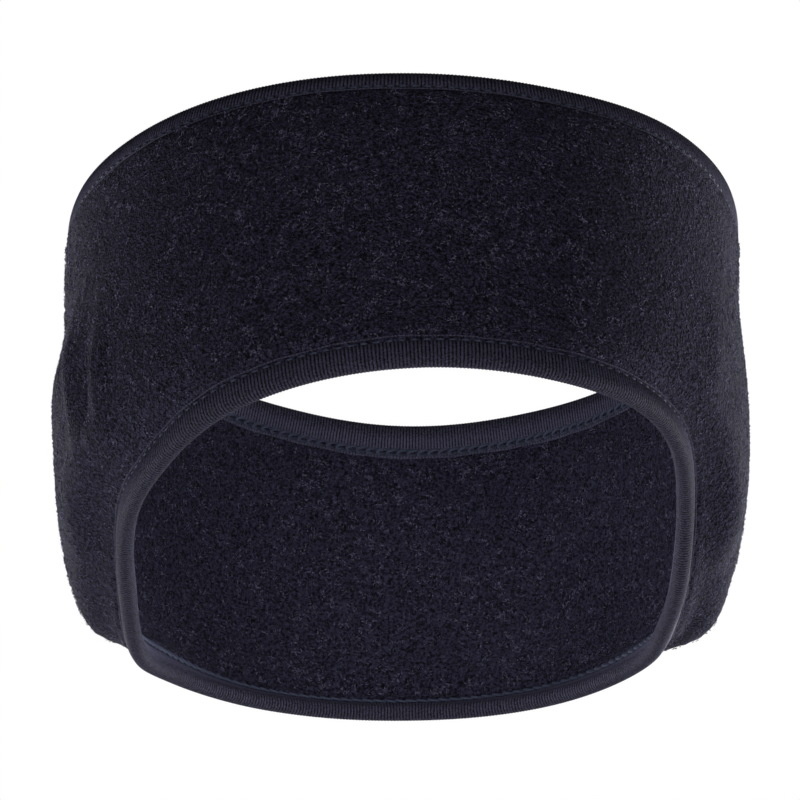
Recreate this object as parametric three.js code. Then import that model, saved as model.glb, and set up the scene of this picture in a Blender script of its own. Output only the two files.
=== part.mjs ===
// Ear warmer headband, worn form.
// A wide band of thick fleece rings the head. It is deeper over the ears than over the brow,
// and a folded rib tape is sewn over its upper and its lower edge.
// Millimetres, +Z up, brow towards -Y, origin on the head's axis inside the band.

import * as THREE from 'three';

// Plan of the wall's middle line: a rounded oval round the head
const HALF_WIDTH = 85;
const HALF_LENGTH = 98.2;
const PLAN_POWER = 2.19;

// Height of the wall's middle line above and below the origin
const UPPER_HEIGHT = 38.6;
const LOWER_DEPTH = 50.3;

// How far each edge turns in towards the head, and over what share of the height
const LOWER_TUCK = 6;
const UPPER_TUCK = 2.6;
const TUCK_SHARE = 0.2;

// How high above the lower edge the hem keeps a lean of its own
const LEAN_HEIGHT = 12.5;

// Fleece: full pile, and pressed flat where the tape grips it
const FLEECE_WALL = 4.2;
const FLEECE_PRESSED = 2.2;
const PILE_RISE = 0.9;

// Rib tape folded over an edge: its cloth, its two legs from the rim, and the room to the fleece
const TAPE_THICKNESS = 0.8;
const TAPE_OUTER_LEG = 7.2;
const TAPE_INNER_LEG = 9.5;
const TAPE_CLEARANCE = 0.3;

// Size of a full fold in the fleece
const FOLD_LENGTH = 20;
const FOLD_WIDTH = 5;
const FOLD_DEPTH = 2;

// Fineness of the mesh
const STATIONS = 90;
const FACE_ROWS = 13;
const RIM_SIDES = 3;
const RULER_STEPS = 48;

// Evenly spaced sections round the head, from the brow (0) by the left ear (90) to the nape (180).
// rise is a share of UPPER_HEIGHT and drop of LOWER_DEPTH.
// hem, ear, temple and brow are shares of the plan's radius at 0, 1/3, 2/3 and all of the height.
// tuck is a share of LOWER_TUCK.
// lean is the slope that the hem adds to the wall: below 0 it stands up, above 0 it curls in.
const SECTIONS = [
  { at: 0, rise: 0.97, drop: 0.77, hem: 1.005, ear: 0.999, temple: 0.996, brow: 0.969, tuck: 0.06, lean: 0.00 },
  { at: 22.5, rise: 0.97, drop: 0.76, hem: 0.995, ear: 0.998, temple: 0.994, brow: 0.973, tuck: 0.01, lean: -0.10 },
  { at: 45, rise: 1.02, drop: 0.73, hem: 0.952, ear: 0.996, temple: 0.991, brow: 0.996, tuck: 0.38, lean: -0.70 },
  { at: 67.5, rise: 1.05, drop: 0.81, hem: 0.899, ear: 0.991, temple: 0.979, brow: 1.013, tuck: 0.86, lean: -1.20 },
  { at: 90, rise: 1.04, drop: 1.01, hem: 0.880, ear: 0.991, temple: 0.977, brow: 1.009, tuck: 1.10, lean: -1.30 },
  { at: 112.5, rise: 0.99, drop: 1.05, hem: 0.899, ear: 1.017, temple: 0.986, brow: 0.995, tuck: 1.35, lean: -1.00 },
  { at: 135, rise: 0.95, drop: 0.97, hem: 0.934, ear: 1.040, temple: 0.991, brow: 0.988, tuck: 0.60, lean: -0.40 },
  { at: 157.5, rise: 0.94, drop: 0.95, hem: 0.961, ear: 1.018, temple: 0.998, brow: 0.979, tuck: 0.37, lean: 0.80 },
  { at: 180, rise: 0.92, drop: 0.95, hem: 0.979, ear: 1.013, temple: 0.998, brow: 0.977, tuck: 0.49, lean: 1.10 },
  { at: 202.5, rise: 0.99, drop: 0.97, hem: 0.960, ear: 1.020, temple: 0.997, brow: 0.971, tuck: 0.53, lean: 0.80 },
  { at: 225, rise: 1.05, drop: 1.01, hem: 0.930, ear: 1.033, temple: 0.994, brow: 0.980, tuck: 0.49, lean: -0.40 },
  { at: 247.5, rise: 1.05, drop: 1.14, hem: 0.890, ear: 1.017, temple: 0.993, brow: 0.996, tuck: 1.00, lean: -1.00 },
  { at: 270, rise: 1.05, drop: 1.11, hem: 0.870, ear: 0.996, temple: 0.986, brow: 1.011, tuck: 1.06, lean: -1.30 },
  { at: 292.5, rise: 1.02, drop: 1.03, hem: 0.888, ear: 0.993, temple: 0.988, brow: 1.004, tuck: 0.96, lean: -1.20 },
  { at: 315, rise: 0.98, drop: 0.99, hem: 0.938, ear: 0.997, temple: 0.994, brow: 0.986, tuck: 0.60, lean: -0.70 },
  { at: 337.5, rise: 0.97, drop: 0.86, hem: 0.988, ear: 0.998, temple: 0.995, brow: 0.971, tuck: 0.19, lean: -0.10 },
];

// Soft folds beside the wearer's ears. at is the angle round the head, up the share of the height.
// turn is the ridge's slope in degrees, 0 along the band and 90 upright.
// long, wide and deep are shares of the full fold. A negative deep is a valley.
const FOLDS = [
  { at: 310, up: 0.3, turn: 90, long: 0.60, wide: 0.60, deep: 0.90 }, // right crease, upright
  { at: 305, up: 0.18, turn: -20, long: 0.40, wide: 0.60, deep: 0.80 }, // right crease, bend
  { at: 290, up: 0.15, turn: 4, long: 1.00, wide: 0.80, deep: 0.90 }, // right crease, level
  { at: 299, up: 0.38, turn: 90, long: 0.70, wide: 0.60, deep: 0.70 }, // right ear ridge
  { at: 304.5, up: 0.3, turn: 85, long: 0.60, wide: 0.60, deep: -0.70 }, // right valley
  { at: 287, up: 0.68, turn: 0, long: 0.80, wide: 1.40, deep: -0.80 }, // right hollow
  { at: 290, up: 0.45, turn: 0, long: 0.90, wide: 1.20, deep: 0.60 }, // right bump
  { at: 53, up: 0.28, turn: 80, long: 1.00, wide: 0.80, deep: 0.50 }, // left ridge
  { at: 78, up: 0.12, turn: 4, long: 1.30, wide: 0.80, deep: 0.60 }, // left hem ridge
  { at: 117, up: 0.17, turn: 0, long: 0.90, wide: 1.60, deep: 0.25 }, // left corner
  { at: 124, up: 0.09, turn: 0, long: 1.00, wide: 0.90, deep: 3.20 }, // left corner, under
  { at: 248, up: 0.16, turn: 0, long: 1.00, wide: 1.60, deep: 0.45 }, // right corner
  { at: 245, up: 0.09, turn: 0, long: 1.00, wide: 0.80, deep: 0.90 }, // right corner, under
  { at: 97, up: 0.15, turn: 0, long: 0.50, wide: 0.80, deep: -0.60 }, // left hollow
];

const FULL_TURN = 360;
const radians = THREE.MathUtils.degToRad;

// One column of the sections at any angle, on a smooth curve through the rows
function section(column, angle) {
  const rows = SECTIONS.length;
  const spacing = SECTIONS[1].at - SECTIONS[0].at;
  const place = THREE.MathUtils.euclideanModulo(angle, FULL_TURN) / spacing;
  const row = Math.floor(place);
  const u = place - row;
  const [a, b, c, d] = [-1, 0, 1, 2].map((step) => SECTIONS[(row + step + rows) % rows][column]);
  const bend = 2 * a - 5 * b + 4 * c - d + u * (3 * (b - c) + d - a);
  return b + 0.5 * u * (c - a + u * bend);
}

// Radius of the plan at an angle round the head
function planRadius(angle) {
  const across = Math.abs(Math.sin(radians(angle)) / HALF_WIDTH) ** PLAN_POWER;
  const along = Math.abs(Math.cos(radians(angle)) / HALF_LENGTH) ** PLAN_POWER;
  return (across + along) ** (-1 / PLAN_POWER);
}

// Smooth line through four values at 0, 1/3, 2/3 and 1
function throughFour(values, up) {
  const places = [0, 1 / 3, 2 / 3, 1];
  let sum = 0;
  values.forEach((value, i) => {
    let share = value;
    places.forEach((place, j) => {
      if (j !== i) share *= (up - place) / (places[i] - place);
    });
    sum += share;
  });
  return sum;
}

// Wall's middle without folds, at an angle and a share of the height
function plainMiddle(angle, up) {
  const columns = ['hem', 'ear', 'temple', 'brow'];
  const swell = throughFour(columns.map((column) => section(column, angle)), up);
  const nearHem = Math.max(0, (TUCK_SHARE - up) / TUCK_SHARE) ** 2;
  const nearTop = Math.max(0, (up - 1 + TUCK_SHARE) / TUCK_SHARE) ** 2;
  const tuck = nearHem * section('tuck', angle) * LOWER_TUCK + nearTop * UPPER_TUCK;
  const low = -section('drop', angle) * LOWER_DEPTH;
  const high = section('rise', angle) * UPPER_HEIGHT;
  const aboveHem = (high - low) * up;
  const fade = Math.max(0, 1 - (aboveHem / LEAN_HEIGHT) ** 2) ** 2;
  const lean = section('lean', angle) * aboveHem * fade;
  const radius = planRadius(angle) * swell - tuck + lean;
  return new THREE.Vector3(
    radius * Math.sin(radians(angle)),
    -radius * Math.cos(radians(angle)),
    THREE.MathUtils.lerp(low, high, up),
  );
}

// Outward direction of a surface given by angle and share of the height
function outward(surface, angle, up) {
  const around = surface(angle + 0.5, up).sub(surface(angle - 0.5, up));
  const upward = surface(angle, up + 0.005).sub(surface(angle, up - 0.005));
  return around.cross(upward).normalize();
}

// Height of all folds together over the plain wall. The tapes hold both edges smooth.
function foldHeight(angle, up) {
  const height = section('rise', angle) * UPPER_HEIGHT + section('drop', angle) * LOWER_DEPTH;
  const fromEnd = Math.min(up, 1 - up) * height;
  const tapeEnd = INNER_REACH + TAPE_CLEARANCE;
  const free = THREE.MathUtils.smoothstep(fromEnd, tapeEnd, tapeEnd + FOLD_WIDTH);
  let sum = 0;
  for (const fold of FOLDS) {
    const turn = THREE.MathUtils.euclideanModulo(angle - fold.at + 180, FULL_TURN) - 180;
    const across = radians(turn) * HALF_WIDTH;
    const over = (up - fold.up) * height;
    const slope = radians(fold.turn);
    const length = across * Math.cos(slope) + over * Math.sin(slope);
    const width = over * Math.cos(slope) - across * Math.sin(slope);
    const fade = (length / (FOLD_LENGTH * fold.long)) ** 2 + (width / (FOLD_WIDTH * fold.wide)) ** 2;
    sum += FOLD_DEPTH * fold.deep * Math.exp(-fade);
  }
  return sum * free;
}

// Wall's middle with its folds
function middle(angle, up) {
  const out = outward(plainMiddle, angle, up).multiplyScalar(foldHeight(angle, up));
  return plainMiddle(angle, up).add(out);
}

// Point off the wall's middle, out from the head
function offWall(angle, up, out) {
  return middle(angle, up).addScaledVector(outward(middle, angle, up), out);
}

// Length along the wall from its lower end, at even shares of the height
function rulerAt(angle) {
  const lengths = [0];
  let last = middle(angle, 0);
  for (let step = 1; step <= RULER_STEPS; step += 1) {
    const next = middle(angle, step / RULER_STEPS);
    lengths.push(lengths[step - 1] + next.distanceTo(last));
    last = next;
  }
  return lengths;
}

// Share of the height at a length along the wall
function shareAt(ruler, length) {
  const step = THREE.MathUtils.clamp(ruler.findIndex((mark) => mark >= length), 1, RULER_STEPS);
  const part = (length - ruler[step - 1]) / (ruler[step] - ruler[step - 1]);
  return (step - 1 + part) / RULER_STEPS;
}

// Half round over an end of the wall, without its two ends, from the outer face to the inner one
function rim(angle, up, radius) {
  const out = outward(middle, angle, up);
  const beyond = middle(angle, up + 0.005).sub(middle(angle, up - 0.005)).normalize();
  if (up === 0) beyond.negate();
  const points = [];
  for (let side = 1; side < RIM_SIDES; side += 1) {
    const sweep = Math.PI * side / RIM_SIDES;
    const point = middle(angle, up).addScaledVector(out, radius * Math.cos(sweep));
    points.push(point.addScaledVector(beyond, radius * Math.sin(sweep)));
  }
  return points;
}

// Closed ring with outward faces, from one loop of points for each station round the head.
// Cells of the loop from liningFrom on are split the other way, so that a tape's inside
// has the same facets as the fleece under it.
function ring(loopAt, liningFrom = Infinity) {
  const loops = [];
  for (let station = 0; station < STATIONS; station += 1) {
    loops.push(loopAt(station * FULL_TURN / STATIONS));
  }
  const size = loops[0].length;
  const faces = [];
  for (let station = 0; station < STATIONS; station += 1) {
    const here = station * size;
    const next = (station + 1) % STATIONS * size;
    for (let i = 0; i < size; i += 1) {
      const j = (i + 1) % size;
      if (i < liningFrom) faces.push(here + i, next + i, next + j, here + i, next + j, here + j);
      else faces.push(here + i, next + i, here + j, next + i, next + j, here + j);
    }
  }
  const geometry = new THREE.BufferGeometry().setFromPoints(loops.flat());
  geometry.setIndex(faces);
  geometry.computeVertexNormals();
  return geometry;
}

// Distances from the middle line and along it that the fleece and the tape share
const TAPE_INSIDE = FLEECE_PRESSED / 2 + TAPE_CLEARANCE;
const TAPE_OUTSIDE = TAPE_INSIDE + TAPE_THICKNESS;
const OUTER_REACH = TAPE_OUTER_LEG - TAPE_OUTSIDE;
const INNER_REACH = TAPE_INNER_LEG - TAPE_OUTSIDE;

// One face of the fleece from its lower to its upper end: pressed under the tape, full between
function fleeceFace(angle, ruler, reach, side) {
  const total = ruler[RULER_STEPS];
  const pressed = reach + TAPE_CLEARANCE;
  const full = pressed + PILE_RISE;
  const points = [offWall(angle, 0, side * FLEECE_PRESSED / 2)];
  points.push(offWall(angle, shareAt(ruler, pressed), side * FLEECE_PRESSED / 2));
  for (let row = 0; row <= FACE_ROWS + 1; row += 1) {
    const length = THREE.MathUtils.lerp(full, total - full, row / (FACE_ROWS + 1));
    points.push(offWall(angle, shareAt(ruler, length), side * FLEECE_WALL / 2));
  }
  points.push(offWall(angle, shareAt(ruler, total - pressed), side * FLEECE_PRESSED / 2));
  points.push(offWall(angle, 1, side * FLEECE_PRESSED / 2));
  return points;
}

// Section of the fleece band: up the outer face, over the top, down the inner face and under
function fleeceLoop(angle) {
  const ruler = rulerAt(angle);
  return [
    ...fleeceFace(angle, ruler, OUTER_REACH, 1),
    ...rim(angle, 1, FLEECE_PRESSED / 2),
    ...fleeceFace(angle, ruler, INNER_REACH, -1).reverse(),
    ...rim(angle, 0, FLEECE_PRESSED / 2).reverse(),
  ];
}

// Section of a tape folded over the wall's end at up, which is 0 or 1
function tapeLoop(angle, up) {
  const ruler = rulerAt(angle);
  const along = (reach) => shareAt(ruler, up === 1 ? ruler[RULER_STEPS] - reach : reach);
  const skin = (off) => [
    offWall(angle, along(OUTER_REACH), off),
    offWall(angle, up, off),
    ...rim(angle, up, off),
    offWall(angle, up, -off),
    offWall(angle, along(INNER_REACH), -off),
  ];
  if (up === 1) return [...skin(TAPE_OUTSIDE), ...skin(TAPE_INSIDE).reverse()];
  return [...skin(TAPE_OUTSIDE).reverse(), ...skin(TAPE_INSIDE)];
}

// Ring of tape over the wall's end at up
function tape(up) {
  return ring((angle) => tapeLoop(angle, up), tapeLoop(0, up).length / 2);
}

// One named sub-part in its cloth
function piece(name, geometry, cloth) {
  const mesh = new THREE.Mesh(geometry, cloth);
  mesh.name = name;
  return mesh;
}

const fleeceCloth = new THREE.MeshStandardMaterial({ color: '#23212d', roughness: 0.95, metalness: 0 });
const ribTape = new THREE.MeshStandardMaterial({ color: '#292836', roughness: 0.7, metalness: 0 });

const headband = new THREE.Group();
headband.name = 'ear_warmer_headband';
headband.add(piece('fleece_band', ring(fleeceLoop), fleeceCloth));
headband.add(piece('upper_binding', tape(1), ribTape));
headband.add(piece('lower_binding', tape(0), ribTape));

export default headband;
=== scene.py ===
# %% [markdown]
# # An ear warmer headband
#
# The real thing is a wide band of brushed polyester fleece that rings the head. It is deep over
# the ears and arched over the brow. A rib tape is folded over both edges and sewn through:
# a row of short straight stitches shows outside, and the same seam shows as a chain inside.
#
# The band is shown as a head would hold it, with no head in it. We look up at it from below,
# so the brow is in front and the inside of the nape shows through the opening.
#
# Each piece is built as what it is. The fleece is one thick sheet with a pile of fibres on it,
# each tape is a folded strip with real ribs, and every stitch is a piece of thread.

# %% Load the frame
import math

import bpy
import numpy as np
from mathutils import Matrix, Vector, noise


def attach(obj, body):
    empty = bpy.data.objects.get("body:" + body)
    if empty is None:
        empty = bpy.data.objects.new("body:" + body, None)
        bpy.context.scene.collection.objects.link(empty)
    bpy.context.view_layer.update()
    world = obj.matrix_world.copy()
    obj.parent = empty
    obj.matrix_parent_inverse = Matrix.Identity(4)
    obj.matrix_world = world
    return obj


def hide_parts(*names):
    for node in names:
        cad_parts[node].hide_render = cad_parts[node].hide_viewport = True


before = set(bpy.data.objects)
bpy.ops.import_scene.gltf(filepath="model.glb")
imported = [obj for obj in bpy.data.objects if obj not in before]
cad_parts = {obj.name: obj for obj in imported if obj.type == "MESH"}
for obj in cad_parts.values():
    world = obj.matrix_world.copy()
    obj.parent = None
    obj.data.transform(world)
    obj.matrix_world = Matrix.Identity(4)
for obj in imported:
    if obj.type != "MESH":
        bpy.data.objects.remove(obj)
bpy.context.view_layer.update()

# %% [markdown]
# ## The sizes of the band
#
# All lengths are in millimetres until a mesh is made. The plan is a rounded oval, and the wall's
# middle line runs from its lower end to its upper end at every angle round the head.

# %% Named sizes
MM = 0.001

HALF_WIDTH = 85
HALF_LENGTH = 98.2
PLAN_POWER = 2.19

UPPER_HEIGHT = 38.6
LOWER_DEPTH = 50.3

LOWER_TUCK = 6
UPPER_TUCK = 2.6
TUCK_SHARE = 0.2
LEAN_HEIGHT = 12.5

FLEECE_WALL = 4.2
FLEECE_PRESSED = 2.2

TAPE_THICKNESS = 0.8
TAPE_OUTER_LEG = 7.2
TAPE_INNER_LEG = 9.5
TAPE_CLEARANCE = 0.3

TAPE_INSIDE = FLEECE_PRESSED / 2 + TAPE_CLEARANCE
TAPE_OUTSIDE = TAPE_INSIDE + TAPE_THICKNESS
OUTER_REACH = TAPE_OUTER_LEG - TAPE_OUTSIDE
INNER_REACH = TAPE_INNER_LEG - TAPE_OUTSIDE

# %% [markdown]
# ## The shape of the wall
#
# Sixteen sections round the head say how high the wall rises, how low it drops, and how far it
# swells or leans. Angle 0 is the brow, 90 the left ear and 180 the nape. The numbers are shares
# of the named sizes. A smooth curve joins the sections, so there is no corner between them.

# %% Sections round the head
SECTION_SPACING = 22.5
SECTIONS = {
    "rise": [
        0.97, 0.97, 1.02, 1.05, 1.04, 0.99, 0.95, 0.94,
        0.92, 0.99, 1.05, 1.05, 1.05, 1.02, 0.98, 0.97,
    ],
    "drop": [
        0.77, 0.76, 0.73, 0.81, 1.01, 1.05, 0.97, 0.95,
        0.95, 0.97, 1.01, 1.14, 1.11, 1.03, 0.99, 0.86,
    ],
    "hem": [
        1.005, 0.995, 0.952, 0.899, 0.880, 0.899, 0.934, 0.961,
        0.979, 0.960, 0.930, 0.890, 0.870, 0.888, 0.938, 0.988,
    ],
    "ear": [
        0.999, 0.998, 0.996, 0.991, 0.991, 1.017, 1.040, 1.018,
        1.013, 1.020, 1.033, 1.017, 0.996, 0.993, 0.997, 0.998,
    ],
    "temple": [
        0.996, 0.994, 0.991, 0.979, 0.977, 0.986, 0.991, 0.998,
        0.998, 0.997, 0.994, 0.993, 0.986, 0.988, 0.994, 0.995,
    ],
    "brow": [
        0.969, 0.973, 0.996, 1.013, 1.009, 0.995, 0.988, 0.979,
        0.977, 0.971, 0.980, 0.996, 1.011, 1.004, 0.986, 0.971,
    ],
    "tuck": [
        0.06, 0.01, 0.38, 0.86, 1.10, 1.35, 0.60, 0.37,
        0.49, 0.53, 0.49, 1.00, 1.06, 0.96, 0.60, 0.19,
    ],
    "lean": [
        0.00, -0.10, -0.70, -1.20, -1.30, -1.00, -0.40, 0.80,
        1.10, 0.80, -0.40, -1.00, -1.30, -1.20, -0.70, -0.10,
    ],
}


def section(column, angle):
    """One column of the sections at any angles in degrees."""
    rows = np.array(SECTIONS[column])
    place = np.mod(angle, 360) / SECTION_SPACING
    row = np.floor(place).astype(int)
    u = place - row
    a, b, c, d = (rows[(row + step) % len(rows)] for step in (-1, 0, 1, 2))
    return b + 0.5 * u * (c - a + u * (2 * a - 5 * b + 4 * c - d + u * (3 * (b - c) + d - a)))


def plan_radius(angle):
    """Radius of the rounded oval at angles in degrees."""
    across = np.abs(np.sin(np.radians(angle)) / HALF_WIDTH) ** PLAN_POWER
    along = np.abs(np.cos(np.radians(angle)) / HALF_LENGTH) ** PLAN_POWER
    return (across + along) ** (-1 / PLAN_POWER)


def through_four(values, up):
    """Smooth line through four values at 0, 1/3, 2/3 and 1."""
    places = (0, 1 / 3, 2 / 3, 1)
    total = 0
    for i, value in enumerate(values):
        share = value
        for j, place in enumerate(places):
            if j != i:
                share = share * (up - place) / (places[i] - place)
        total = total + share
    return total


def wall_height(angle):
    """Height of the wall at angles in degrees."""
    return section("rise", angle) * UPPER_HEIGHT + section("drop", angle) * LOWER_DEPTH


def plain_middle(angle, up):
    """Middle of the wall without folds, at angles and shares of the height."""
    swell = through_four([section(name, angle) for name in ("hem", "ear", "temple", "brow")], up)
    near_hem = np.maximum(0, (TUCK_SHARE - up) / TUCK_SHARE) ** 2
    near_top = np.maximum(0, (up - 1 + TUCK_SHARE) / TUCK_SHARE) ** 2
    tuck = near_hem * section("tuck", angle) * LOWER_TUCK + near_top * UPPER_TUCK
    above_hem = wall_height(angle) * up
    fade = np.maximum(0, 1 - (above_hem / LEAN_HEIGHT) ** 2) ** 2
    lean = section("lean", angle) * above_hem * fade
    radius = plan_radius(angle) * swell - tuck + lean
    low = -section("drop", angle) * LOWER_DEPTH
    x = radius * np.sin(np.radians(angle))
    y = -radius * np.cos(np.radians(angle))
    return np.stack([x, y, low + above_hem], axis=-1)


four_sides = np.array([0, 90, 180, 270])
print("wall height at brow, left ear, nape and right ear in mm:", wall_height(four_sides).round(1))

# %% [markdown]
# ## Folds
#
# Soft cloth that is drawn in by its tapes can't lie quite flat beside the ears. Each fold is a
# long soft bump along the wall's normal. It could be sculpted or simulated, but a short table is
# exact, and the folds stay where the real ones are. The tapes hold both edges smooth.

# %% Folds beside the ears
FOLD_LENGTH = 20
FOLD_WIDTH = 5
FOLD_DEPTH = 2
# at in degrees, up as a share of the height, turn in degrees (90 is upright),
# then length, width and depth as shares of the full fold
FOLDS = [
    (310, 0.3, 90, 0.60, 0.60, 0.90),  # right crease, upright
    (305, 0.18, -20, 0.40, 0.60, 0.80),  # right crease, bend
    (290, 0.15, 4, 1.00, 0.80, 0.90),  # right crease, level
    (299, 0.38, 90, 0.70, 0.60, 0.70),  # right ear ridge
    (304.5, 0.3, 85, 0.60, 0.60, -0.70),  # right valley
    (287, 0.68, 0, 0.80, 1.40, -0.80),  # right hollow
    (290, 0.45, 0, 0.90, 1.20, 0.60),  # right bump
    (53, 0.28, 80, 1.00, 1.20, 0.45),  # left ridge
    (78, 0.12, 4, 1.30, 0.80, 0.60),  # left hem ridge
    (117, 0.17, 0, 0.90, 1.60, 0.25),  # left corner
    (124, 0.09, 0, 1.00, 0.90, 3.20),  # left corner, under
    (248, 0.16, 0, 1.00, 1.60, 0.45),  # right corner
    (245, 0.09, 0, 1.00, 0.80, 0.90),  # right corner, under
    (97, 0.15, 0, 0.50, 0.80, -0.60),  # left hollow
]


def smoothstep(value, low, high):
    """0 below low, 1 above high, and a smooth rise between."""
    share = np.clip((value - low) / (high - low), 0, 1)
    return share * share * (3 - 2 * share)


def fold_height(angle, up):
    """Height of all folds together over the plain wall."""
    height = wall_height(angle)
    from_end = np.minimum(up, 1 - up) * height
    tape_end = INNER_REACH + TAPE_CLEARANCE
    free = smoothstep(from_end, tape_end, tape_end + FOLD_WIDTH)
    total = 0
    for at, level, turn, long, wide, deep in FOLDS:
        across = np.radians(np.mod(angle - at + 180, 360) - 180) * HALF_WIDTH
        over = (up - level) * height
        slope = math.radians(turn)
        length = across * math.cos(slope) + over * math.sin(slope)
        width = over * math.cos(slope) - across * math.sin(slope)
        fade = (length / (FOLD_LENGTH * long)) ** 2 + (width / (FOLD_WIDTH * wide)) ** 2
        total = total + FOLD_DEPTH * deep * np.exp(-fade)
    return total * free


def unit(vectors):
    """Vectors of length 1."""
    return vectors / np.linalg.norm(vectors, axis=-1, keepdims=True)


def outward(surface, angle, up):
    """Outward direction of a surface given by angle and share of the height."""
    around = surface(angle + 0.5, up) - surface(angle - 0.5, up)
    upward = surface(angle, up + 0.005) - surface(angle, up - 0.005)
    return unit(np.cross(around, upward))


def middle(angle, up):
    """Middle of the wall with its folds."""
    height = fold_height(angle, up)[..., None]
    return plain_middle(angle, up) + outward(plain_middle, angle, up) * height


def off_wall(angle, up, out):
    """Points off the wall's middle, out from the head."""
    return middle(angle, up) + outward(middle, angle, up) * np.asarray(out)[..., None]


print("folds:", len(FOLDS))

# %% [markdown]
# ## The camera
#
# The photo is a product shot through a long lens, from in front of the band and below it. The
# camera looks up by 26.35 degrees. From 1 m away the ribs of the far tape look a sixth smaller
# than the near ones, as they do in the photo.

# %% Camera
CAMERA_PITCH = math.radians(26.354)
CAMERA_DISTANCE = 1.0
CAMERA_LENS = 178.3
CAMERA_TARGET = Vector((-0.7, 0, -0.3)) * MM

looking = Vector((0, math.cos(CAMERA_PITCH), math.sin(CAMERA_PITCH)))
camera_data = bpy.data.cameras.new("camera")
camera_data.lens = CAMERA_LENS
camera_data.sensor_width = 36
camera = bpy.data.objects.new("camera", camera_data)
camera.location = CAMERA_TARGET - looking * CAMERA_DISTANCE
camera.rotation_mode = "QUATERNION"
camera.rotation_quaternion = looking.to_track_quat("-Z", "Y")
bpy.context.scene.collection.objects.link(camera)
bpy.context.scene.camera = camera
print("camera at", [round(c, 3) for c in camera.location])

# %% [markdown]
# ## Colours and nodes
#
# Colours are written as the sRGB hex values that a colour picker shows, and turned to the linear
# light that a shader works in. A node is added with its settings and its links in one call.


# %% Helpers for materials
def colour(text):
    """Linear RGBA from an sRGB hex value."""
    parts = [int(text[i : i + 2], 16) / 255 for i in (1, 3, 5)]
    linear = [c / 12.92 if c <= 0.04045 else ((c + 0.055) / 1.055) ** 2.4 for c in parts]
    return (*linear, 1.0)


def add_node(tree, kind, inputs=None, **settings):
    """Adds a node. inputs maps a socket to a value or to another node's output."""
    node = tree.nodes.new(kind)
    for name, value in settings.items():
        setattr(node, name, value)
    for name, value in (inputs or {}).items():
        if isinstance(value, bpy.types.NodeSocket):
            tree.links.new(value, node.inputs[name])
        else:
            node.inputs[name].default_value = value
    return node


def new_material(name):
    """An empty material with its output node."""
    material = bpy.data.materials.new(name)
    material.use_nodes = True
    material.node_tree.nodes.clear()
    return material, material.node_tree


def finish_material(tree, shader):
    """Links a shader to a material's output."""
    add_node(tree, "ShaderNodeOutputMaterial", {"Surface": shader.outputs["BSDF"]})


print("dark navy in linear light:", [round(c, 4) for c in colour("#24222f")])

# %% [markdown]
# ## Brushed polyester fleece
#
# Fleece is a knit whose loops are brushed up and sheared, so the knit is hidden under a pile of
# fine crimped fibres. The fibres clump into soft pebbles about 0.7 mm across, with shorter curls
# on them. To the eye it is deep and matt, and dark between the pebbles. The fibre ends are pale
# at a glancing angle where they catch the light. That is sheen, so the loose fibres have much of
# it and the ground under them almost none.
#
# The pebbles could be modelled, but at 0.7 mm they would take millions of faces. The mesh carries
# the relief above 3 mm, the nodes carry the pebbles as a bump with painted shade between them and
# painted light on their crests, and loose fibres stand on top of both.

# %% Fleece material
# The valley and crest colours are painted shade between the pebbles and painted light on their
# crests.
FLEECE_SHADED_VALLEY = "#08080e"
FLEECE_LIT_CREST = "#3d3b52"
FIBRE_DARK = "#08080d"
FIBRE_LIGHT = "#706e88"
PALE_SHEEN = "#a8a5c4"
GROUND_TONES = (0.38, 0.66)
GROUND_SHEEN = 0.05
FIBRE_SHEEN = 0.5
PEBBLE_MM = 0.7
CURL_MM = 0.4
PEBBLE_DEPTH = 1.2


def per_metre(size_mm):
    """Texture scale that makes one feature as large as the size."""
    return 1 / (size_mm * MM)


def pile_shader(tree, tone, low, high, dark, light, sheen):
    """Matt pile whose colour runs from dark to light as the tone runs from low to high."""
    shade = add_node(tree, "ShaderNodeMapRange", {"Value": tone, "From Min": low, "From Max": high})
    blend = add_node(
        tree, "ShaderNodeMix",
        {0: shade.outputs["Result"], 6: colour(dark), 7: colour(light)},
        data_type="RGBA",
    )
    return add_node(
        tree, "ShaderNodeBsdfPrincipled",
        {
            "Base Color": blend.outputs[2], "Roughness": 0.95, "Specular IOR Level": 0.1,
            "Sheen Weight": sheen, "Sheen Roughness": 0.5, "Sheen Tint": colour(PALE_SHEEN),
        },
    )


def fleece_material():
    """Ground of the fleece: painted shade between the pebbles and painted light on their crests,
    with short curls on them.
    """
    material, tree = new_material("brushed_polyester_fleece")
    place = add_node(tree, "ShaderNodeTexCoord").outputs["Object"]
    pebbles = add_node(
        tree, "ShaderNodeTexNoise",
        {"Vector": place, "Scale": per_metre(PEBBLE_MM), "Detail": 0.0, "Distortion": 0.8},
    )
    curls = add_node(
        tree, "ShaderNodeTexNoise",
        {
            "Vector": place, "Scale": per_metre(CURL_MM),
            "Detail": 1.0, "Roughness": 0.5, "Distortion": 1.2,
        },
    )
    relief = add_node(
        tree, "ShaderNodeMix",
        {"Factor": 0.5, "A": pebbles.outputs["Fac"], "B": curls.outputs["Fac"]},
    )
    # The colour follows the relief: painted shade in its valleys and painted light on its crests.
    shader = pile_shader(
        tree, relief.outputs["Result"], *GROUND_TONES, FLEECE_SHADED_VALLEY, FLEECE_LIT_CREST, GROUND_SHEEN
    )
    bump = add_node(
        tree, "ShaderNodeBump",
        {"Height": pebbles.outputs["Fac"], "Strength": 1.0, "Distance": PEBBLE_DEPTH * MM},
    )
    tree.links.new(bump.outputs["Normal"], shader.inputs["Normal"])
    finish_material(tree, shader)
    return material


def fibre_material():
    """Wisps over the ground, each with its own tone, with painted shade towards its root."""
    material, tree = new_material("loose_fleece_fibre")
    tone = add_node(tree, "ShaderNodeAttribute", attribute_name="tone")
    shader = pile_shader(tree, tone.outputs["Fac"], 0.0, 1.0, FIBRE_DARK, FIBRE_LIGHT, FIBRE_SHEEN)
    finish_material(tree, shader)
    return material


fleece_cloth = fleece_material()
fleece_fibre = fibre_material()
print("materials:", fleece_cloth.name, fleece_fibre.name)
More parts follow.
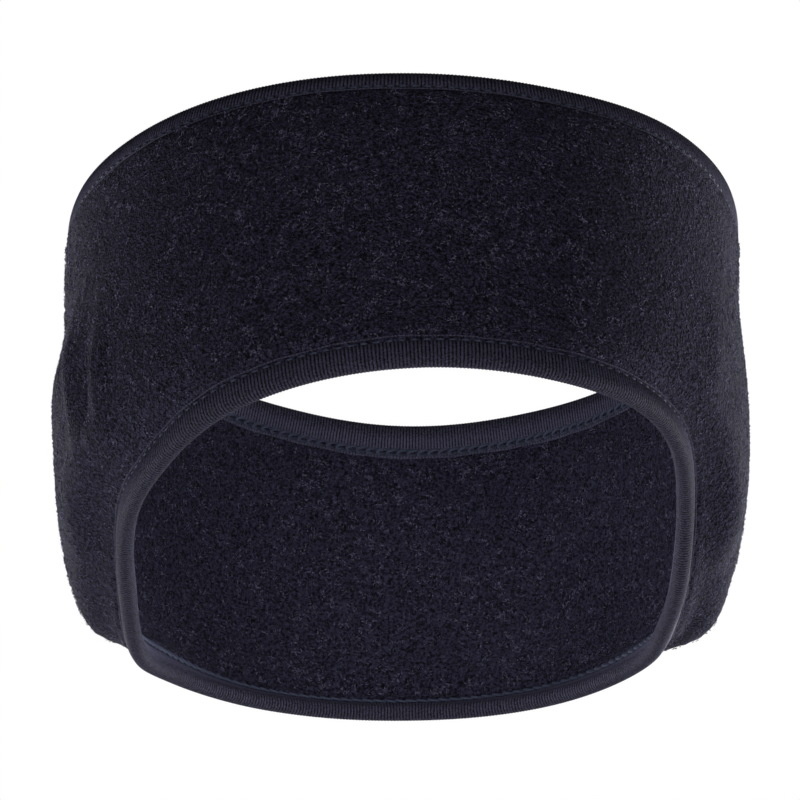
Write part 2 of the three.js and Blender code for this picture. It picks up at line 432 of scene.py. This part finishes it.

# %% [markdown]
# ## Rib tape and thread
#
# The binding is a knitted nylon tape. Its ribs run across it and are real geometry here. Little
# light reaches the valleys between them, and the mesh tones them dark, because the real valleys
# are narrower than these. The yarn is a little smoother than the fleece, but still almost matt.
# The thread is spun polyester in a slightly bluer shade, with painted shade where it dives into the
# cloth.

# %% Tape and thread materials
# Each yarn runs from its dark to its light colour with its mesh tone, which carries painted shade
# and light.
TAPE_DARK = "#07070c"
TAPE_LIGHT = "#525067"
THREAD_DARK = "#080911"
THREAD_LIGHT = "#484d63"
YARN_MM = 0.4
PLY_MM = 0.3
YARN_UNEVEN = 0.3
YARN_RELIEF = 0.06


def yarn_material(name, dark, light, grain_mm, roughness, sheen):
    """Smooth yarn with fine uneven tone, dark where its mesh tone paints shade."""
    material, tree = new_material(name)
    place = add_node(tree, "ShaderNodeTexCoord").outputs["Object"]
    grain = add_node(
        tree, "ShaderNodeTexNoise",
        {"Vector": place, "Scale": per_metre(grain_mm), "Detail": 2.0, "Roughness": 0.6},
    )
    uneven = add_node(
        tree, "ShaderNodeMapRange",
        {
            "Value": grain.outputs["Fac"], "From Min": 0.35, "From Max": 0.65,
            "To Min": -YARN_UNEVEN, "To Max": YARN_UNEVEN,
        },
    )
    tone = add_node(tree, "ShaderNodeAttribute", attribute_name="tone")
    shade = add_node(
        tree, "ShaderNodeMath",
        {0: tone.outputs["Fac"], 1: uneven.outputs["Result"]},
        operation="ADD", use_clamp=True,
    )
    blend = add_node(
        tree, "ShaderNodeMix",
        {0: shade.outputs["Value"], 6: colour(dark), 7: colour(light)},
        data_type="RGBA",
    )
    bump = add_node(
        tree, "ShaderNodeBump",
        {"Height": grain.outputs["Fac"], "Strength": 1.0, "Distance": YARN_RELIEF * MM},
    )
    shader = add_node(
        tree, "ShaderNodeBsdfPrincipled",
        {
            "Base Color": blend.outputs[2], "Roughness": roughness, "Specular IOR Level": 0.15,
            "Sheen Weight": sheen, "Sheen Roughness": 0.4, "Sheen Tint": colour(PALE_SHEEN),
            "Normal": bump.outputs["Normal"],
        },
    )
    finish_material(tree, shader)
    return material


rib_tape_cloth = yarn_material("knitted_nylon_tape", TAPE_DARK, TAPE_LIGHT, YARN_MM, 0.8, 0.0)
thread_yarn = yarn_material("spun_polyester_thread", THREAD_DARK, THREAD_LIGHT, PLY_MM, 0.55, 0.1)
print("materials:", rib_tape_cloth.name, thread_yarn.name)

# %% [markdown]
# ## Meshes from loops
#
# Every piece goes round the head, so one helper is enough: it takes a grid of points, with a
# closed loop of points at each station, and joins them into a closed ring.


# %% Mesh helpers
def new_piece(name, points, faces, material, tones=None):
    """A smooth mesh object in metres from points in millimetres, with a tone for each if given."""
    mesh = bpy.data.meshes.new(name)
    mesh.from_pydata((points.reshape(-1, 3) * MM).tolist(), [], faces)
    mesh.polygons.foreach_set("use_smooth", [True] * len(mesh.polygons))
    mesh.materials.append(material)
    if tones is not None:
        mesh.attributes.new("tone", "FLOAT", "POINT").data.foreach_set("value", np.ravel(tones))
    mesh.update()
    piece = bpy.data.objects.new(name, mesh)
    bpy.context.scene.collection.objects.link(piece)
    return piece


def ring_faces(stations, size, start=0):
    """Quads of a closed ring of closed loops, facing out."""
    station, i = np.meshgrid(np.arange(stations), np.arange(size), indexing="ij")
    here = start + station * size
    beyond = start + (station + 1) % stations * size
    j = (i + 1) % size
    return np.stack([here + i, beyond + i, beyond + j, here + j], axis=-1).reshape(-1, 4).tolist()


def edge_frame(angle, end):
    """Directions at an edge of the wall, and the steps of angle and height that lead into it."""
    point = middle(angle, end)
    by_angle = (middle(angle + 0.25, end) - middle(angle - 0.25, end)) / 0.5
    by_up = (middle(angle, end + 0.0025) - middle(angle, end - 0.0025)) / 0.005
    along = unit(by_angle)
    slip = np.sum(by_up * along, axis=-1)
    inward = by_up - slip[..., None] * along
    reach = np.linalg.norm(inward, axis=-1)
    side = 1 if end == 0 else -1
    return {
        "point": point,
        "along": along,
        "inward": side * inward / reach[..., None],
        "outward": outward(middle, angle, end),
        "angle_step": -side * slip / np.linalg.norm(by_angle, axis=-1) / reach,
        "up_step": side / reach,
        "lean": reach / np.linalg.norm(by_up, axis=-1),
    }


def edge_angles(count, end):
    """Angles of evenly spaced places along an edge, and the edge's length in mm."""
    fine = np.linspace(0, 360, 2881)
    points = middle(fine, np.full_like(fine, end))
    length = np.concatenate([[0], np.cumsum(np.linalg.norm(np.diff(points, axis=0), axis=1))])
    return np.interp(np.arange(count) / count * length[-1], length, fine), length[-1]


def edge_length(end):
    """Length of an edge in mm."""
    return edge_angles(1, end)[1]


print("edge lengths in mm: lower", round(edge_length(0.0)), "upper", round(edge_length(1.0)))

# %% [markdown]
# ## The fleece band
#
# The fleece is one thick sheet. At each station its section goes up the outer face, over the
# top, down the inner face and under. Where the tape grips it the sheet is pressed thin, and just
# past the tape the pile swells out again, so the seam lies in a soft ditch. A slow unevenness and
# small lumps keep the faces from looking machined.

# %% Fleece band
STATIONS = 640
FACE_ROWS = 68
RULER_STEPS = 60
PILE_RISE = 1.3
PILE_STEP = 0.6
PILLOW_HEIGHT = 0.35
PILLOW_WIDTH = 4.0
# size and height of each layer of unevenness, in mm
LUMPS = ((30, 0.30), (9, 0.12), (3.2, 0.14))


def lumpy(points):
    """Uneven height in mm at points."""
    heights = np.zeros(len(points))
    for size, height in LUMPS:
        scaled = (points / size).tolist()
        heights += height * np.array([noise.noise(Vector(p)) for p in scaled])
    return heights


def face_rows(angles, reach):
    """Shares of the height and distances from the tape of each row of one fleece face."""
    grid = np.linspace(0, 1, RULER_STEPS + 1)
    points = middle(angles[:, None], grid[None, :])
    steps = np.linalg.norm(np.diff(points, axis=1), axis=2)
    ruler = np.concatenate([np.zeros((len(angles), 1)), np.cumsum(steps, axis=1)], axis=1)
    foot_low = (reach + TAPE_CLEARANCE) / edge_frame(angles, 0.0)["lean"]
    foot_high = ruler[:, -1] - (reach + TAPE_CLEARANCE) / edge_frame(angles, 1.0)["lean"]
    share = np.linspace(0, 1, FACE_ROWS)
    lengths = foot_low[:, None] + (foot_high - foot_low)[:, None] * share
    ups = np.array([np.interp(row, marks, grid) for row, marks in zip(lengths, ruler)])
    from_tape = np.minimum(lengths - foot_low[:, None], foot_high[:, None] - lengths)
    return ups, from_tape


def pile_height(from_tape):
    """Height of the pile over the wall's middle at distances from the tape."""
    share = np.clip(from_tape / PILE_RISE, 0, 1)
    rise = np.sqrt(1 - (1 - share) ** 2)
    pillow = PILLOW_HEIGHT * rise * np.exp(-((from_tape / PILLOW_WIDTH) ** 2))
    full = (FLEECE_WALL - FLEECE_PRESSED) / 2
    return FLEECE_PRESSED / 2 + full * (PILE_STEP + (1 - PILE_STEP) * rise) + pillow


def fleece_face(angles, reach, side):
    """Points of one fleece face from its lower to its upper end."""
    ups, from_tape = face_rows(angles, reach)
    wide = np.broadcast_to(angles[:, None], ups.shape)
    bare = off_wall(wide, ups, side * pile_height(from_tape))
    lumps = lumpy(bare.reshape(-1, 3)).reshape(ups.shape) * smoothstep(from_tape, 0, 2)
    face = bare + outward(middle, wide, ups) * (side * lumps)[..., None]
    pressed = np.full_like(angles, side * FLEECE_PRESSED / 2)
    low_end, high_end = (off_wall(angles, np.full_like(angles, end), pressed) for end in (0.0, 1.0))
    return np.concatenate([low_end[:, None], face, high_end[:, None]], axis=1)


def rim_round(edge, radius, sweeps):
    """Points of a half round over an edge, at sweeps in degrees from the outer face."""
    turned = np.radians(sweeps)
    out = np.cos(turned)[None, :, None] * edge["outward"][:, None]
    past = np.sin(turned)[None, :, None] * -edge["inward"][:, None]
    return edge["point"][:, None] + np.asarray(radius)[..., None] * (out + past)


def make_fleece():
    """The whole band as one closed ring."""
    angles = np.arange(STATIONS) * 360 / STATIONS
    low_round = rim_round(edge_frame(angles, 0.0), FLEECE_PRESSED / 2, np.array([120, 60]))
    high_round = rim_round(edge_frame(angles, 1.0), FLEECE_PRESSED / 2, np.array([60, 120]))
    outer = fleece_face(angles, OUTER_REACH, 1)
    inner = fleece_face(angles, INNER_REACH, -1)[:, ::-1]
    loops = np.concatenate([outer, high_round, inner, low_round], axis=1)
    return new_piece("fleece", loops, ring_faces(*loops.shape[:2]), fleece_cloth)


fleece = make_fleece()
print("fleece faces:", len(fleece.data.polygons))

# %% [markdown]
# ## The pile
#
# Loose fibres stand on the fleece and break its outline. Hair particles would be lost in an
# export, so each fibre is a small closed spindle: one foot, a ring of three points at its bent
# middle, and one tip. Real fibres are about 0.02 mm thick, far under a pixel, so these are drawn
# coarser, as wisps 0.2 to 0.4 mm wide that each stand for several fibres. Brushing leaves them in
# small tufts, so the wisps come in fours, and the wisps of a tuft share their tone.

# %% Fibres on both faces
FIBRES = 32000
FIBRES_IN_TUFT = 4
TUFT_MM = 0.45
FIBRE_LENGTH = (0.7, 1.4)
FIBRE_HALF_WIDTH = (0.10, 0.20)
FIBRE_LIFT = (0.05, 0.35)
FIBRE_TURN = 1.4
FIBRE_ROOT = 0.15
FIBRE_FROM_TAPE = 0.6
# painted shade and light on each wisp, as shares of its tone at the foot, the three points of the
# ring and the tip: shade at the foot in the pile, light on the ring's outer point
FIBRE_PAINTED_SHADES = (0.1, 0.7, 1.0, 0.7, 0.8)


def make_pile(name, reach, side, seed):
    """Wisps of pile on one face of the fleece."""
    dice = np.random.default_rng(seed)
    tufts = FIBRES // FIBRES_IN_TUFT
    angle = np.repeat(dice.uniform(0, 360, tufts), FIBRES_IN_TUFT)
    angle = angle + dice.normal(0, math.degrees(TUFT_MM / HALF_WIDTH), FIBRES)
    start = reach + FIBRE_FROM_TAPE
    low = start / edge_frame(angle, 0.0)["lean"] / wall_height(angle)
    high = 1 - start / edge_frame(angle, 1.0)["lean"] / wall_height(angle)
    share = np.repeat(dice.uniform(0, 1, tufts), FIBRES_IN_TUFT)
    share = np.clip(share + dice.normal(0, TUFT_MM, FIBRES) / wall_height(angle), 0, 1)
    up = low + (high - low) * share
    from_tape = np.minimum(up - low, high - up) * wall_height(angle) + FIBRE_FROM_TAPE / 2
    out = side * outward(middle, angle, up)
    root = off_wall(angle, up, side * (pile_height(from_tape) - FIBRE_ROOT))
    around = unit(np.cross([0.0, 0.0, 1.0], out))
    over = np.cross(out, around)
    heading = dice.uniform(0, 2 * math.pi, FIBRES)[:, None]
    lying = around * np.cos(heading) + over * np.sin(heading)
    bend = heading + dice.uniform(-FIBRE_TURN, FIBRE_TURN, (FIBRES, 1))
    curl = around * np.cos(bend) + over * np.sin(bend)
    length = dice.uniform(*FIBRE_LENGTH, (FIBRES, 1))
    lift = dice.uniform(*FIBRE_LIFT, (FIBRES, 1))
    half = dice.uniform(*FIBRE_HALF_WIDTH, (FIBRES, 1))
    bent = root + lying * length * 0.45 + out * (FIBRE_ROOT + length * lift * 0.5)
    tip = bent + curl * length * 0.5 + out * (lift - FIBRE_LIFT[1]) * 0.5
    sideways = np.cross(out, lying)
    ring = (bent + sideways * half, bent + out * half, bent - sideways * half)
    points = np.stack([root, *ring, tip], axis=1)
    first = 5 * np.arange(FIBRES)[:, None, None]
    spindle = np.array([[0, 2, 1], [0, 3, 2], [0, 1, 3], [4, 1, 2], [4, 2, 3], [4, 3, 1]])
    faces = (first + spindle[None]).reshape(-1, 3).tolist()
    tones = np.repeat(dice.uniform(0.0, 1.0, tufts), FIBRES_IN_TUFT)
    tones = tones + dice.uniform(-0.15, 0.15, FIBRES)
    # The tuft's tone is scaled by painted shade at the foot and painted light on the ring's outer
    # point.
    tones = np.clip(tones, 0, 1)[:, None] * np.array(FIBRE_PAINTED_SHADES)
    return new_piece(name, points, faces, fleece_fibre, tones)


outer_pile = make_pile("outer_pile", OUTER_REACH, 1, 11)
inner_pile = make_pile("inner_pile", INNER_REACH, -1, 12)
print("fibres:", 2 * FIBRES)

# %% [markdown]
# ## The rib tapes
#
# A tape is a strip folded over the edge. Its section starts at the outer lip, dips where the
# stitches pull it in, runs to the rim, turns over it, and comes back on the inside. The section
# is swept along the edge with four stations to a rib, square to the edge, so the ribs cross the
# tape as the real ones do and roughen its outline a little. Each point has a tone that paints
# shade in the rib valleys, which are really narrower and darker than a mesh of this size can
# make them, and in the stitch ditch. The tone also paints shade on the rim and the outer leg,
# and light on the inner leg.

# %% Rib tapes
RIB_PITCH = 0.85
RIB_HEIGHT = 0.36
RIB_PROFILE = (0.0, 0.7, 1.0, 0.7)
STITCH_PITCH = 2.8
STITCH_FROM_RIM = 6.2
CHAIN_FROM_RIM = 8.0
STITCH_PINCH = 0.3
STITCH_SKEW = 1.0
RIM_RIB = 0.4
RIB_SHADE = 1.15
# The rim is toned darker than the legs, which is painted shade.
RIM_SHADED_TONE = 0.6
LINING_GAP = 0.05
TAPE_LINING = FLEECE_PRESSED / 2 + LINING_GAP
# length and height of each wave of the lip, in mm
WOBBLE = ((14, 0.10), (45, 0.12))
# Section of a leg from its lip to the rim. reach is from the wall's end as a share of the leg,
# level is a share of TAPE_OUTSIDE, rib is a share of RIB_HEIGHT, pinch of STITCH_PINCH. tone is
# painted shade and light: low in the ditch of the stitches and at the lip, painted darker on the
# outer leg and painted lighter on the inner leg.
OUTER_LEG_ROWS = (
    {"reach": 1.03, "level": 0.70, "rib": 0.2, "pinch": 0.0, "tone": 0.5},
    {"reach": 1.01, "level": 0.92, "rib": 0.2, "pinch": 0.0, "tone": 0.75},
    {"reach": 0.97, "level": 0.92, "rib": 0.3, "pinch": 0.0, "tone": 0.7},
    {"reach": 0.93, "level": 0.64, "rib": 0.3, "pinch": 0.3, "tone": 0.0},
    {"reach": 0.86, "level": 0.60, "rib": 0.3, "pinch": 1.0, "tone": 0.0},
    {"reach": 0.79, "level": 0.68, "rib": 0.4, "pinch": 0.7, "tone": 0.3},
    {"reach": 0.72, "level": 0.94, "rib": 0.9, "pinch": 0.1, "tone": 0.75},
    {"reach": 0.30, "level": 1.01, "rib": 1.0, "pinch": 0.0, "tone": 0.75},
)
INNER_LEG_ROWS = (
    {"reach": 1.03, "level": 0.70, "rib": 0.3, "pinch": 0.0, "tone": 0.6},
    {"reach": 1.02, "level": 0.88, "rib": 0.4, "pinch": 0.0, "tone": 0.9},
    {"reach": 0.96, "level": 0.92, "rib": 0.5, "pinch": 0.0, "tone": 0.9},
    {"reach": 0.79, "level": 0.80, "rib": 0.4, "pinch": 1.0, "tone": 0.4},
    {"reach": 0.62, "level": 0.93, "rib": 0.9, "pinch": 0.2, "tone": 1.1},
    {"reach": 0.35, "level": 1.00, "rib": 1.0, "pinch": 0.0, "tone": 1.1},
)
RIM_SWEEPS = (0, 30, 60, 90, 120, 150, 180)


def into_wall(angle, end, edge, reach):
    """Angle and share of the height at a distance from an edge, square to it."""
    return angle + edge["angle_step"] * reach, end + edge["up_step"] * reach


def tape_leg(angle, end, edge, reach, side, row, rib, step, wobble):
    """Points and tones of one row of a tape's leg. step is the place along the seam in stitches."""
    far = reach * row["reach"] + wobble * row["reach"] ** 4
    skewed = step + STITCH_SKEW * far / STITCH_PITCH
    pinch = row["pinch"] * (0.5 - 0.5 * np.cos(skewed * 2 * math.pi)) ** 2
    level = TAPE_OUTSIDE * row["level"] + RIB_HEIGHT * row["rib"] * rib - STITCH_PINCH * pinch
    # Painted shade: the tone is darker in the rib valleys and where the stitches pinch the tape.
    tones = row["tone"] * (1 + RIB_SHADE * rib * (0.3 + 0.7 * row["rib"])) * (1 - 0.9 * pinch)
    return off_wall(*into_wall(angle, end, edge, far), side * level), tones


def make_tape(name, end, seed):
    """A folded rib tape round the edge at end, which is 0 or 1."""
    ribs = round(edge_length(end) / RIB_PITCH)
    angle, length = edge_angles(ribs * len(RIB_PROFILE), end)
    edge = edge_frame(angle, end)
    rib = np.tile(RIB_PROFILE, ribs) - 1
    place = np.arange(len(angle)) / len(angle) * length
    step = place / length * round(length / STITCH_PITCH)
    wobble = 0
    for size, height in WOBBLE:
        wave = round(length / size) * 2 * math.pi
        wobble = wobble + height * np.sin(place / length * wave + seed)
    outer = [
        tape_leg(angle, end, edge, OUTER_REACH, 1, row, rib, step, wobble)
        for row in OUTER_LEG_ROWS
    ]
    inner = [
        tape_leg(angle, end, edge, INNER_REACH, -1, row, rib, step, wobble)
        for row in reversed(INNER_LEG_ROWS)
    ]
    rim_radius = (TAPE_OUTSIDE + RIM_RIB * RIB_HEIGHT * rib)[:, None]
    crest = rim_round(edge, rim_radius, np.array(RIM_SWEEPS))
    lining = [
        off_wall(*into_wall(angle, end, edge, reach), np.full_like(angle, side * TAPE_LINING))
        for reach, side in ((INNER_REACH, -1), (0.0, -1), (0.0, 1), (OUTER_REACH, 1))
    ]
    under = rim_round(edge, TAPE_LINING, np.array([90]))
    loops = np.concatenate(
        [
            np.stack([points for points, _ in outer], axis=1), crest,
            np.stack([points for points, _ in inner], axis=1),
            np.stack(lining[:2], axis=1), under, np.stack(lining[2:], axis=1),
        ],
        axis=1,
    )
    # The rim and the lining are toned darker, as painted shade, with painted shade in the rib
    # valleys too.
    tones = np.broadcast_to(RIM_SHADED_TONE * (1 + RIB_SHADE * rib)[:, None], loops.shape[:2]).copy()
    tones[:, : len(outer)] = np.stack([tone for _, tone in outer], axis=1)
    first = len(outer) + crest.shape[1]
    tones[:, first : first + len(inner)] = np.stack([tone for _, tone in inner], axis=1)
    if end == 0:
        loops, tones = loops[:, ::-1], tones[:, ::-1]
    return new_piece(name, loops, ring_faces(*loops.shape[:2]), rib_tape_cloth, tones)


upper_tape = make_tape("upper_rib_tape", 1.0, 1.0)
lower_tape = make_tape("lower_rib_tape", 0.0, 2.0)
print("tape faces:", len(upper_tape.data.polygons), len(lower_tape.data.polygons))

# %% [markdown]
# ## The seams
#
# A chain-stitch machine sews each tape. Outside it leaves short straight stitches that dip into
# needle holes. Inside it leaves a chain of loops, each lying on the root of the next. Both are
# tubes of thread here: a helper sweeps a thin round along a list of paths.

# %% Thread helper
STITCH_RADIUS = 0.28
CHAIN_RADIUS = 0.38
THREAD_SIDES = 6


def tube_faces(rows, sides, first, closed):
    """Quads of one tube, with its ends capped unless it is closed on itself."""
    faces = []
    for row in range(rows if closed else rows - 1):
        here = first + row * sides
        beyond = first + (row + 1) % rows * sides
        for i in range(sides):
            j = (i + 1) % sides
            faces.append([here + i, here + j, beyond + j, beyond + i])
    if not closed:
        last = first + (rows - 1) * sides
        faces.append([first + i for i in reversed(range(sides))])
        faces.append([last + i for i in range(sides)])
    return faces


def make_threads(name, paths, lifts, radii, tones, closed):
    """Tubes along paths of shape (count, rows, 3), with an outward direction for each point."""
    count, rows = paths.shape[:2]
    if closed:
        run = np.roll(paths, -1, axis=1) - np.roll(paths, 1, axis=1)
    else:
        run = np.gradient(paths, axis=1)
    run = unit(run)
    side = unit(np.cross(run, lifts))
    rise = np.cross(side, run)
    turn = np.arange(THREAD_SIDES) * 2 * math.pi / THREAD_SIDES
    round_it = side[:, :, None] * np.cos(turn)[:, None] + rise[:, :, None] * np.sin(turn)[:, None]
    points = paths[:, :, None] + round_it * radii[None, :, None, None]
    faces = []
    for i in range(count):
        faces += tube_faces(rows, THREAD_SIDES, i * rows * THREAD_SIDES, closed)
    tones = np.broadcast_to(tones[None, :, None], points.shape[:3])
    return new_piece(name, points, faces, thread_yarn, tones)


# %% [markdown]
# The straight stitches lie in the ditch of the outer leg. Each one is 2 mm of thread on a pitch
# of 2.8 mm, and both ends go down into the cloth.

# %% Straight stitches outside
STITCH_LENGTH = 2.0
STITCH_SAMPLES = 7
STITCH_LEVEL = 0.6
STITCH_RISE = 0.36
STITCH_TONE = 0.85


def seam_points(count, end, from_rim, side, steps, sideways, heights):
    """Points and outward directions of a seam, for each stitch at steps along it in mm."""
    fine, length = edge_angles(count * 16, end)
    place = np.arange(count)[:, None] * length / count + steps[None, :]
    marks = np.arange(len(fine) + 1) / len(fine) * length
    angle = np.interp(np.mod(place, length), marks, [*fine, 360.0])
    edge = edge_frame(angle, end)
    reach = from_rim - TAPE_OUTSIDE + np.broadcast_to(sideways, angle.shape)
    spot = into_wall(angle, end, edge, reach)
    points = off_wall(*spot, side * np.broadcast_to(heights, angle.shape))
    return points, side * outward(middle, *spot)


def make_stitches(name, end):
    """The outer row of straight stitches along an edge."""
    count = round(edge_length(end) / STITCH_PITCH)
    run = np.linspace(-0.5, 0.5, STITCH_SAMPLES)
    arch = 1 - (2 * run) ** 2
    heights = TAPE_OUTSIDE * STITCH_LEVEL + STITCH_RISE * arch
    radii = STITCH_RADIUS * (0.5 + 0.5 * np.sqrt(arch))
    steps = run * STITCH_LENGTH
    paths, lifts = seam_points(count, end, STITCH_FROM_RIM, 1, steps, 0.0, heights)
    # The thread's tone falls to nothing at both ends, as painted shade where it dives into the
    # needle holes.
    return make_threads(name, paths, lifts, radii, STITCH_TONE * np.sqrt(arch), False)


upper_stitches = make_stitches("upper_stitches", 1.0)
lower_stitches = make_stitches("lower_stitches", 0.0)
print("stitch faces:", len(upper_stitches.data.polygons), len(lower_stitches.data.polygons))

# %% [markdown]
# Each loop of the chain is a drop shape: narrow at its root, wide at its head. The head is lifted
# a little, because it lies over the root of the next loop. The machine pulls each loop askew, so
# the chain reads as a row of slanted beads, with painted shade at their roots under the heads.

# %% Chain inside
CHAIN_HALF_WIDTH = 0.95
CHAIN_OVERLAP = 1.1
CHAIN_SKEW = 1.0
CHAIN_SAMPLES = 14
CHAIN_LEVEL = 0.84
CHAIN_ROOT = 0.05
CHAIN_RISE = 0.5
CHAIN_ROOT_SHADE = 0.15


def make_chain(name, end):
    """The inner chain of loops along an edge."""
    count = round(edge_length(end) / STITCH_PITCH)
    turn = np.arange(CHAIN_SAMPLES) / CHAIN_SAMPLES * 2 * math.pi
    share = (1 - np.cos(turn)) / 2
    sideways = CHAIN_HALF_WIDTH * np.sin(turn) * (0.6 + 0.4 * share)
    steps = share * STITCH_PITCH * CHAIN_OVERLAP + CHAIN_SKEW * sideways
    heights = TAPE_OUTSIDE * CHAIN_LEVEL + CHAIN_ROOT + CHAIN_RISE * share
    radii = np.full(CHAIN_SAMPLES, CHAIN_RADIUS)
    paths, lifts = seam_points(count, end, CHAIN_FROM_RIM, -1, steps, sideways, heights)
    # Each loop's tone is painted shade at its root, under the head of the loop before, and full at
    # its head.
    tones = CHAIN_ROOT_SHADE + (1 - CHAIN_ROOT_SHADE) * share
    return make_threads(name, paths, lifts, radii, tones, True)


upper_chain = make_chain("upper_chain", 1.0)
lower_chain = make_chain("lower_chain", 0.0)
print("chain faces:", len(upper_chain.data.polygons), len(lower_chain.data.polygons))

# %% [markdown]
# ## Studio light
#
# The photo is lit for a cut-out on white. Strong soft boxes stand left and right, a little behind
# the band, so the light rakes over the pile: both sides glow and the middle stays dark. Weaker
# boxes stand low in front, where they show the lower tape and look in through the opening, and a
# small lamp inside lifts the inner face. The camera sees a white world, but the cloth gets only a
# little light from it.
#
# A dome of even light would be simpler, but it would flatten the pile and the ribs.

# %% World, floor and lights
FLOOR_LEVEL = -1.2
FLOOR_SIZE = 8
FLOOR_GREY = "#e6e6e6"
WORLD_FILL = 0.01
WHITE = "#ffffff"
BOX_SIZE = 0.6
# place in metres and power in watts of each soft box
SOFT_BOXES = {
    "front_box": ((0, -1.21, -0.70), 2.8),
    "left_front_box": ((-0.61, -1.05, -0.70), 3.4),
    "right_front_box": ((0.61, -1.05, -0.70), 3.4),
    "low_left_box": ((-1.05, 0, -0.93), 3),
    "left_box": ((-1.14, 0.66, -0.48), 13),
    "right_box": ((1.19, 0.69, 0.24), 8),
    "low_right_box": ((1.14, 0.66, -0.48), 17),
    "left_back_box": ((-0.69, 1.19, 0.24), 11),
    "right_back_box": ((0.69, 1.19, 0.24), 12),
}


def make_world():
    """White to the camera and a weak fill for everything else."""
    world = bpy.data.worlds.new("studio")
    world.use_nodes = True
    tree = world.node_tree
    tree.nodes.clear()
    path = add_node(tree, "ShaderNodeLightPath")
    fill = add_node(tree, "ShaderNodeBackground", {"Color": colour(WHITE), "Strength": WORLD_FILL})
    white = add_node(tree, "ShaderNodeBackground", {"Color": colour(WHITE), "Strength": 1.0})
    both = add_node(tree, "ShaderNodeMixShader", {"Fac": path.outputs["Is Camera Ray"]})
    tree.links.new(fill.outputs["Background"], both.inputs[1])
    tree.links.new(white.outputs["Background"], both.inputs[2])
    add_node(tree, "ShaderNodeOutputWorld", {"Surface": both.outputs["Shader"]})
    bpy.context.scene.world = world


def soft_box(name, place, watts):
    """A soft box that faces the band and that the camera doesn't see."""
    data = bpy.data.lights.new(name, "AREA")
    data.shape = "RECTANGLE"
    data.size = BOX_SIZE
    data.size_y = BOX_SIZE
    data.energy = watts
    box = bpy.data.objects.new(name, data)
    box.location = place
    box.rotation_mode = "QUATERNION"
    box.rotation_quaternion = (-Vector(place)).to_track_quat("-Z", "Y")
    box.visible_camera = False
    bpy.context.scene.collection.objects.link(box)


def soft_ball(name, place, radius, watts):
    """A soft round lamp that the camera doesn't see."""
    data = bpy.data.lights.new(name, "POINT")
    data.shadow_soft_size = radius
    data.energy = watts
    ball = bpy.data.objects.new(name, data)
    ball.location = place
    ball.visible_camera = False
    bpy.context.scene.collection.objects.link(ball)


def make_floor():
    """A plain pale floor far below the band."""
    half = FLOOR_SIZE / 2
    corners = [(-half, -half, 0), (half, -half, 0), (half, half, 0), (-half, half, 0)]
    mesh = bpy.data.meshes.new("floor")
    mesh.from_pydata(corners, [], [(0, 1, 2, 3)])
    material, tree = new_material("pale_paper")
    finish_material(tree, add_node(
        tree, "ShaderNodeBsdfPrincipled",
        {
            "Base Color": colour(FLOOR_GREY), "Roughness": 0.9,
            "Emission Color": colour(FLOOR_GREY), "Emission Strength": 0.9,
        },
    ))
    mesh.materials.append(material)
    floor = bpy.data.objects.new("floor", mesh)
    floor.location = (0, 0, FLOOR_LEVEL)
    floor.visible_diffuse = False
    floor.visible_glossy = False
    bpy.context.scene.collection.objects.link(floor)


make_world()
make_floor()
for name, (place, watts) in SOFT_BOXES.items():
    soft_box(name, place, watts)
soft_ball("inside_ball", (0, -0.01, -0.01), 0.03, 0.14)
bpy.context.scene.view_settings.view_transform = "Standard"
print("lights:", len(bpy.data.lights))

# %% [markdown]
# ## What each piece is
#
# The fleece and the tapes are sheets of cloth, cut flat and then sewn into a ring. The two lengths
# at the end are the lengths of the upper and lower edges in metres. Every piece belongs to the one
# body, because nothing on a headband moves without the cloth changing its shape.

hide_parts("fleece_band")
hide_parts("upper_binding")
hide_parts("lower_binding")
for piece in (fleece, outer_pile, inner_pile):
    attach(piece, "root")
for piece in (upper_tape, lower_tape, upper_stitches, lower_stitches, upper_chain, lower_chain):
    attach(piece, "root")
edge_length(1.0) * MM
edge_length(0.0) * MM
